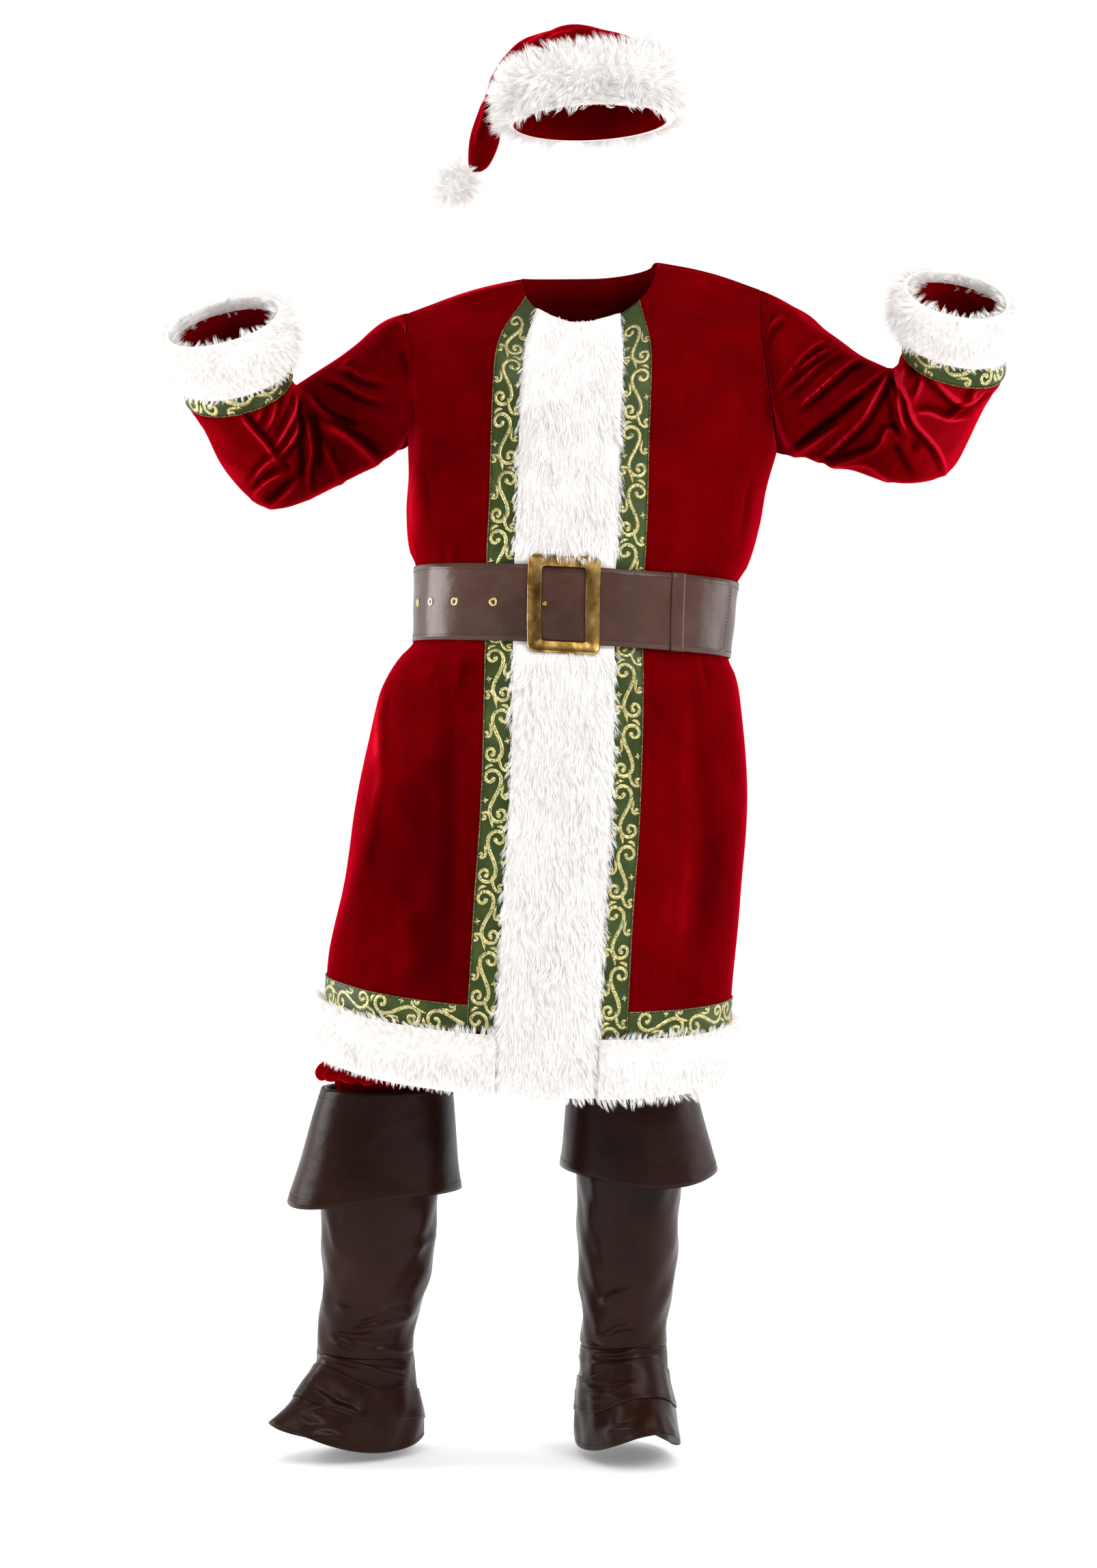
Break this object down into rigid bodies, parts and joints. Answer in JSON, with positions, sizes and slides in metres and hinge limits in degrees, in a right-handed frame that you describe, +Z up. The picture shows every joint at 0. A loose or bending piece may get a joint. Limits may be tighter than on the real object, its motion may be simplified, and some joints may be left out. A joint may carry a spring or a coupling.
{
  "type": "santa suit",
  "caption": "Santa suit as worn: velvet coat with fur and ribbon trim, trousers, buckled belt, hat and boot covers, hollow inside.",
  "frame": {"origin": "middle of the neck base, where the shoulders hold the coat", "axes": "+Z up along the body, front towards -Y, +X towards the wearer's left"},
  "size_m": [1.0614, 0.4521, 1.8297],
  "materials": {
    "velvet": "dark red crushed velvet with a short nap",
    "fur": "long white faux fur",
    "trim": "dark green satin ribbon with gold glitter scrolls",
    "belt_leather": "smooth brown faux leather, stitched at the edges",
    "boot_leather": "soft dark brown faux leather, creased",
    "brass": "mottled antique brass"
  },
  "bodies": {
    "root": {"belt_eyelet_1": "brass", "belt_eyelet_2": "brass", "belt_eyelet_3": "brass", "belt_eyelet_4": "brass", "belt_keeper": "belt_leather", "belt_strap": "belt_leather", "boot_cuff_left": "boot_leather", "boot_cuff_right": "boot_leather", "boot_flap_left": "boot_leather", "boot_flap_right": "boot_leather", "boot_shaft_left": "boot_leather", "boot_shaft_right": "boot_leather", "boot_strap_left": "boot_leather", "boot_strap_right": "boot_leather", "buckle_frame": "brass", "buckle_prong": "brass", "coat_back": "velvet", "coat_front_left": "velvet", "coat_front_right": "velvet", "cuff_fur_left": "fur", "cuff_fur_right": "fur", "cuff_trim_left": "trim", "cuff_trim_right": "trim", "fur_front_band": "fur", "fur_hem_back": "fur", "fur_hem_left": "fur", "fur_hem_right": "fur", "hat_crown": "velvet", "hat_fur_band": "fur", "hat_pom": "fur", "sleeve_left": "velvet", "sleeve_right": "velvet", "trim_front_left": "trim", "trim_front_right": "trim", "trim_hem_back": "trim", "trim_hem_left": "trim", "trim_hem_right": "trim", "trouser_back_left": "velvet", "trouser_back_right": "velvet", "trouser_front_left": "velvet", "trouser_front_right": "velvet", "trouser_waistband": "velvet"}
  },
  "joints": []
}
